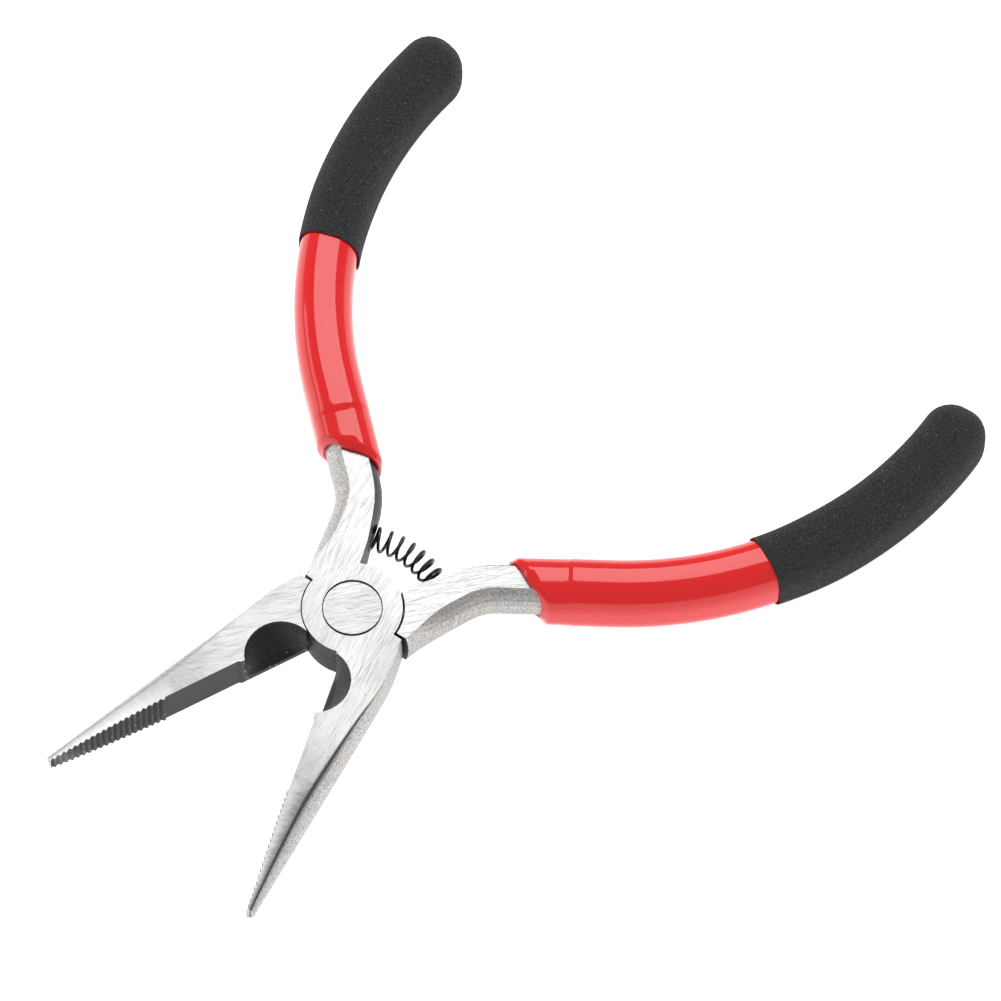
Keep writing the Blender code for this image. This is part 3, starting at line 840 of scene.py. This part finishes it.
def takes_painted_gap_shade(place):
    """Whether the rounding at a place in the open tool is one of the joint's dark rims of
    painted gap shade.
    """
    distance = math.hypot(place.x, place.y)
    if distance < 1.1 * RIVET_RADIUS:
        return distance > RIVET_RADIUS or abs(RIM_AXIS.dot(place)) > 0.6 * distance
    shaded_side = RIM_AXIS.x * place.y - RIM_AXIS.y * place.x
    if distance < BOSS_RADIUS:
        return shaded_side > 0.3 * distance
    return distance < 1.05 * BOSS_RADIUS


def forged_half(side, look):
    """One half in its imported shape, each face given its finish and each edge rounded."""
    node = f"{side}_half"
    piece = merged_copy(node, f"{side}_forged_half")
    local = closed_frame(side).inverted()
    for face in piece.data.polygons:
        face.material_index = face_finish(local @ face.center, local.to_3x3() @ face.normal)
    piece.data.materials.append(ground_jaw_steel(f"{side}_ground_steel", side, look.ground))
    piece.data.materials.append(forged_steel(f"{side}_forged_steel", side, look.forged))
    piece.data.materials.append(black_oxide(f"{side}_black_oxide", side, look.oxide))
    round_edges(piece, look.edge_round, FORGED)
    # The roundings by the joint's gaps take the black material as painted gap shade.
    for face in piece.data.polygons:
        if face.material_index == FORGED and takes_painted_gap_shade(face.center - PIVOT):
            face.material_index = OXIDE_AND_GAP_SHADE
    finish_piece(piece, BODIES[side], [node])


class PLIERS_OT_forged_halves(bpy.types.Operator):
    """Finish the two crossing forgings: ground flats, satin sides and black inner faces"""

    bl_idname = "pliers.forged_halves"
    bl_label = "Forged halves"
    bl_options = {"REGISTER", "UNDO"}

    def execute(self, context):
        look = context.scene.pliers_steel
        for side in BODIES:
            forged_half(side, look)
        return {"FINISHED"}


class PLIERS_OT_pivot_rivet(bpy.types.Operator):
    """Finish the flush rivet, ground across the halves' own scratches"""

    bl_idname = "pliers.pivot_rivet"
    bl_label = "Pivot rivet"
    bl_options = {"REGISTER", "UNDO"}

    def execute(self, context):
        look = context.scene.pliers_steel
        piece = merged_copy("pivot_rivet", "flush_rivet")
        piece.data.materials.append(ground_steel("rivet_steel", BELT_TURN["lower"], look.ground))
        piece.data.materials.append(bpy.data.materials["lower_black_oxide"])
        round_edges(piece, look.edge_round, 1)
        # The roundings by the gap round the rivet keep the black material as painted gap shade;
        # the others become ground steel.
        for face in piece.data.polygons:
            if face.material_index == 1 and not takes_painted_gap_shade(face.center - PIVOT):
                face.material_index = 0
        finish_piece(piece, "lower_arm", ["pivot_rivet"])
        return {"FINISHED"}


def tube(name, stations, corner, steps):
    """A straight tube along X through (place, half width, half height) stations."""
    start_fresh()
    bpy.ops.mesh.primitive_plane_add(size=2.0)
    piece = named(name)
    bpy.ops.object.mode_set(mode="EDIT")
    bpy.ops.mesh.bevel(affect="VERTICES", offset=corner, segments=steps, profile=0.5)
    bpy.ops.mesh.delete(type="ONLY_FACE")
    bpy.ops.mesh.select_all(action="SELECT")
    bpy.ops.transform.rotate(value=math.pi / 2.0, orient_axis="Y", center_override=(0, 0, 0))
    place, width, height = stations[0]
    bpy.ops.transform.resize(value=(1.0, width, height), center_override=(0, 0, 0))
    bpy.ops.transform.translate(value=(place, 0.0, 0.0))
    for ahead, next_width, next_height in stations[1:]:
        bpy.ops.mesh.extrude_region_move(
            TRANSFORM_OT_translate={"value": (ahead - place, 0.0, 0.0)})
        bpy.ops.transform.resize(value=(1.0, next_width / width, next_height / height),
                                 center_override=(ahead, 0.0, 0.0))
        place, width, height = ahead, next_width, next_height
    bpy.ops.object.mode_set(mode="OBJECT")
    return piece


def round_end(place, length, width, height, count=9):
    """Stations that close a tube in a round nose."""
    rings = []
    for angle in spread(0.0, math.radians(86.0), count)[1:]:
        rings.append((place - length + length * math.sin(angle),
                      width * math.cos(angle), height * math.cos(angle)))
    return rings


def close_end(piece, place):
    """Fill the last small ring of a round nose."""
    select_points(piece, lambda co: co.x > place)
    bpy.ops.mesh.edge_face_add()
    bpy.ops.mesh.poke()
    bpy.ops.object.mode_set(mode="OBJECT")


def onto_handle(piece, guide):
    """Bend a straight tube along X on to the line of the handle."""
    apply_modifier(piece, "CURVE", object=guide, deform_axis="POS_X")


def cut_mouth(piece, level):
    """Cut the near end off square to the closed tool's length."""
    make_active(piece)
    bpy.ops.object.mode_set(mode="EDIT")
    bpy.ops.mesh.select_all(action="SELECT")
    bpy.ops.mesh.bisect(plane_co=(0.0, level, 0.0), plane_no=(0.0, -1.0, 0.0), clear_inner=True)
    bpy.ops.mesh.select_all(action="SELECT")
    bpy.ops.mesh.normals_make_consistent(inside=False)
    bpy.ops.object.mode_set(mode="OBJECT")


def give_wall(piece, wall):
    """Thicken a skin inwards."""
    apply_modifier(piece, "SOLIDIFY", thickness=wall, offset=-1.0, use_even_offset=True)


def hug(piece, name, weights, steel, gap):
    """Draw the weighted points of a mouth in towards the steel it grips."""
    group = piece.vertex_groups.new(name=name)
    for index, weight in weights:
        group.add([index], weight, "REPLACE")
    apply_modifier(piece, "SHRINKWRAP", target=steel, offset=gap, vertex_group=name,
                   wrap_method="NEAREST_SURFACEPOINT", wrap_mode="OUTSIDE_SURFACE")
    piece.vertex_groups.remove(piece.vertex_groups[name])


def round_lip(piece, lip):
    """Round the lip of a mouth and smooth the skin."""
    apply_modifier(piece, "BEVEL", width=lip, segments=3, limit_method="ANGLE",
                   angle_limit=math.radians(50.0))
    make_active(piece)
    bpy.ops.object.shade_smooth_by_angle(angle=math.radians(60.0))


def red_sleeve(side, look, guide):
    """Red dip: a collar that hugs the neck, a crease, then the handle's round part."""
    end = RED_END + LONGER[side]
    stations = []
    for s in spread(RED_START - 0.006, RED_CREASE, 42):
        height = mix(RED_COLLAR_HEIGHT, RED_MOUTH_HEIGHT, (RED_CREASE - s) / 0.010)
        stations.append((s, look.half_width, height))
    for t in spread(0.0, 1.0, 6)[1:]:
        rise = mix(RED_COLLAR_HEIGHT, look.half_height, math.sin(t * math.pi / 2.0))
        stations.append((RED_CREASE + 0.0008 * t, look.half_width, rise))
    stations += [(s, look.half_width, look.half_height)
                 for s in spread(RED_CREASE + 0.0008, BLACK_START, 26)[1:]]
    for s in spread(BLACK_START, end - RED_TAIL_WIDTH, 26)[1:]:
        ease = smooth((s - BLACK_START) / 0.0046)
        stations.append((s, mix(look.half_width, RED_TAIL_WIDTH, ease),
                         mix(look.half_height, RED_TAIL_HEIGHT, ease)))
    stations += round_end(end, RED_TAIL_WIDTH, RED_TAIL_WIDTH, RED_TAIL_HEIGHT)
    piece = tube(f"{side}_red_dip", stations, 0.8, 9)
    close_end(piece, end - 0.00002)
    onto_handle(piece, guide)
    level = handle_point(RED_START).y
    cut_mouth(piece, level)
    outer_count = len(piece.data.vertices)
    give_wall(piece, look.wall)
    inner, outer = [], []
    for point in piece.data.vertices:
        depth = level - point.co.y
        if point.index >= outer_count:
            inner.append((point.index, 1.0 - smooth((depth - 0.0008) / 0.0016)))
        else:
            outer.append((point.index, 0.75 * (1.0 - smooth(depth / 0.0008))))
    settle(piece, side)
    steel = bpy.data.objects[f"{side}_forged_half"]
    hug(piece, "inner", inner, steel, 0.00006)
    hug(piece, "outer", outer, steel, 0.00032)
    round_lip(piece, 0.00012)
    return piece


class PLIERS_OT_red_sleeves(bpy.types.Operator):
    """Model the glossy red dip on both handles"""

    bl_idname = "pliers.red_sleeves"
    bl_label = "Red sleeves"
    bl_options = {"REGISTER", "UNDO"}

    def execute(self, context):
        look = context.scene.pliers_sleeves
        material = red_dip(look.color)
        guide = handle_line()
        for side, body in BODIES.items():
            piece = red_sleeve(side, look, guide)
            finish_piece(piece, body, [f"{side}_red_sleeve"], material)
        bpy.data.objects.remove(guide)
        return {"FINISHED"}


def black_grip(side, look, guide):
    """Black foam dip: stands a little proud at its mouth and swells to a round end."""
    stations = [(s, BLACK_MOUTH_WIDTH, BLACK_MOUTH_HEIGHT)
                for s in spread(BLACK_START - 0.006, BLACK_START, 6)]
    end = BLACK_END + LONGER[side]
    for s in spread(BLACK_START, end - look.half_width, 44)[1:]:
        ease = smooth((s - BLACK_START) / 0.0092)
        stations.append((s, mix(BLACK_MOUTH_WIDTH, look.half_width, ease),
                         mix(BLACK_MOUTH_HEIGHT, look.half_height, ease)))
    stations += round_end(end, look.half_width, look.half_width, look.half_height)
    piece = tube(f"{side}_black_foam", stations, 0.8, 9)
    close_end(piece, end - 0.00003)
    onto_handle(piece, guide)
    cut_mouth(piece, handle_point(BLACK_START).y)
    give_wall(piece, look.wall)
    round_lip(piece, 0.00009)
    settle(piece, side)
    return piece


class PLIERS_OT_black_grips(bpy.types.Operator):
    """Model the black foam dip on both handles"""

    bl_idname = "pliers.black_grips"
    bl_label = "Black grips"
    bl_options = {"REGISTER", "UNDO"}

    def execute(self, context):
        look = context.scene.pliers_grips
        material = black_foam(look.color)
        guide = handle_line()
        for side, body in BODIES.items():
            piece = black_grip(side, look, guide)
            finish_piece(piece, body, [f"{side}_black_grip"], material)
        bpy.data.objects.remove(guide)
        return {"FINISHED"}


class PLIERS_OT_return_spring(bpy.types.Operator):
    """Wind the return spring and bend it round the pivot"""

    bl_idname = "pliers.return_spring"
    bl_label = "Return spring"
    bl_options = {"REGISTER", "UNDO"}

    def execute(self, context):
        look = context.scene.pliers_spring
        length = 2.0 * SPRING_REACH * SPRING_BEND_RADIUS
        start_fresh()
        bpy.ops.mesh.primitive_circle_add(vertices=14, radius=look.wire_radius)
        piece = named("coil_spring")
        bpy.ops.object.mode_set(mode="EDIT")
        bpy.ops.mesh.select_all(action="SELECT")
        bpy.ops.transform.translate(value=(-length / 2.0, look.coil_radius, 0.0))
        bpy.ops.transform.rotate(value=SPRING_START_TURN, orient_axis="X",
                                 center_override=(0.0, 0.0, 0.0))
        bpy.ops.object.mode_set(mode="OBJECT")
        apply_modifier(piece, "SCREW", axis="X", angle=2.0 * math.pi, iterations=look.turns,
                       screw_offset=length / look.turns, steps=40, render_steps=40,
                       use_merge_vertices=False)
        select_points(piece, lambda co: True)
        bpy.ops.mesh.remove_doubles(threshold=MERGE)
        bpy.ops.mesh.select_all(action="DESELECT")
        bpy.ops.mesh.select_non_manifold()
        bpy.ops.mesh.edge_face_add()
        bpy.ops.mesh.select_all(action="SELECT")
        bpy.ops.mesh.normals_make_consistent(inside=False)
        bpy.ops.object.mode_set(mode="OBJECT")
        apply_modifier(piece, "SIMPLE_DEFORM", deform_method="BEND", deform_axis="Z",
                       angle=2.0 * SPRING_REACH)
        piece.location = PIVOT - Vector((0.0, SPRING_BEND_RADIUS, 0.0))
        make_active(piece)
        bpy.ops.object.transform_apply(location=True, rotation=True, scale=True)
        bpy.ops.object.shade_smooth()
        piece.data.materials.append(oiled_wire(look.color))
        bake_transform(piece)
        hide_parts("return_spring")
        return {"FINISHED"}


def area_light(name, aim, direction, distance, width, height, power):
    """A soft rectangular light that faces its aim."""
    start_fresh()
    bpy.ops.object.light_add(type="AREA", location=aim + direction.normalized() * distance)
    light = named(name)
    light.rotation_euler = direction.to_track_quat("Z", "Y").to_euler()
    light.data.shape = "RECTANGLE"
    light.data.size = width
    light.data.size_y = height
    light.data.energy = power
    light.visible_camera = False
    return light


class PLIERS_OT_stage(bpy.types.Operator):
    """Lay the pale floor and set up the soft light and the camera"""

    bl_idname = "pliers.stage"
    bl_label = "Stage"
    bl_options = {"REGISTER", "UNDO"}

    def execute(self, context):
        look = context.scene.pliers_stage
        start_fresh()
        bpy.ops.mesh.primitive_plane_add(size=6.0, location=(0.0, 0.0, FLOOR_LEVEL))
        floor = named("floor")
        material, tree, shader = new_material("pale_floor")
        grain = place_group(tree, grain_group(), {"Vector": places(tree), "Size": 0.02})
        tone = blend_colors(tree, grain.outputs["Cloud"], (0.86, 0.86, 0.86), (0.88, 0.88, 0.88))
        tree.links.new(tone, shader.inputs["Base Color"])
        shader.inputs["Roughness"].default_value = 0.9
        shader.inputs["Emission Color"].default_value = (1.0, 1.0, 1.0, 1.0)
        shader.inputs["Emission Strength"].default_value = 0.80
        floor.data.materials.append(material)

        back = Vector((math.sin(look.azimuth) * math.cos(look.elevation),
                       -math.cos(look.azimuth) * math.cos(look.elevation),
                       math.sin(look.elevation)))
        right = Vector((math.cos(look.azimuth), math.sin(look.azimuth), 0.0))
        up = back.cross(right)
        view = Matrix((right, up, back)).transposed() @ Matrix.Rotation(look.roll, 3, "Z")
        place = PIVOT + view @ Vector((look.aim_right, look.aim_up, look.distance))
        bpy.ops.object.camera_add(location=place, rotation=view.to_euler())
        camera = named("camera")
        camera.data.lens = look.lens
        camera.data.clip_start = 0.01
        camera.data.clip_end = 20.0
        context.scene.camera = camera

        far = -Vector((back.x, back.y, 0.0)).normalized()
        overhead = Vector((0.0, 0.0, 1.0))
        lean = math.radians(33.5)
        softbox = math.cos(lean) * overhead + math.sin(lean) * far + 0.104 * right
        area_light("softbox", PIVOT, softbox, 0.8, 0.75, 0.384, look.softbox_power)
        area_light("side_strip", PIVOT, 0.28 * overhead - right + 0.2 * far, 0.8, 0.5, 0.22,
                   look.fill_power)

        world = bpy.data.worlds.new("plain_room")
        world.use_nodes = True
        world.node_tree.nodes["Background"].inputs["Strength"].default_value = look.room
        world.node_tree.nodes["Background"].inputs["Color"].default_value = (1.0, 1.0, 1.0, 1.0)
        context.scene.world = world
        context.scene.view_settings.view_transform = "Standard"
        return {"FINISHED"}


class PLIERS_PT_panel(bpy.types.Panel):
    """Lists the pieces and their settings"""

    bl_label = "Long-nose pliers"
    bl_idname = "PLIERS_PT_panel"
    bl_space_type = "VIEW_3D"
    bl_region_type = "UI"
    bl_category = "Pliers"

    def draw(self, context):
        for operator, settings in PIECES:
            box = self.layout.box()
            box.operator(operator.bl_idname)
            if settings:
                group = getattr(context.scene, settings)
                for name in group.__annotations__:
                    box.prop(group, name)


PIECES = (
    (PLIERS_OT_forged_halves, "pliers_steel"),
    (PLIERS_OT_pivot_rivet, None),
    (PLIERS_OT_red_sleeves, "pliers_sleeves"),
    (PLIERS_OT_black_grips, "pliers_grips"),
    (PLIERS_OT_return_spring, "pliers_spring"),
    (PLIERS_OT_stage, "pliers_stage"),
)
SETTINGS = (
    ("pliers_steel", SteelSettings),
    ("pliers_sleeves", SleeveSettings),
    ("pliers_grips", GripSettings),
    ("pliers_spring", SpringSettings),
    ("pliers_stage", StageSettings),
)


def register():
    for name, group in SETTINGS:
        bpy.utils.register_class(group)
        setattr(bpy.types.Scene, name, PointerProperty(type=group))
    for operator, _ in PIECES:
        bpy.utils.register_class(operator)
    bpy.utils.register_class(PLIERS_PT_panel)


def unregister():
    bpy.utils.unregister_class(PLIERS_PT_panel)
    for operator, _ in reversed(PIECES):
        bpy.utils.unregister_class(operator)
    for name, group in reversed(SETTINGS):
        delattr(bpy.types.Scene, name)
        bpy.utils.unregister_class(group)


def main():
    register()
    bpy.ops.pliers.forged_halves()
    bpy.ops.pliers.pivot_rivet()
    bpy.ops.pliers.red_sleeves()
    bpy.ops.pliers.black_grips()
    bpy.ops.pliers.return_spring()
    bpy.ops.pliers.stage()


if __name__ == "__main__":
    main()
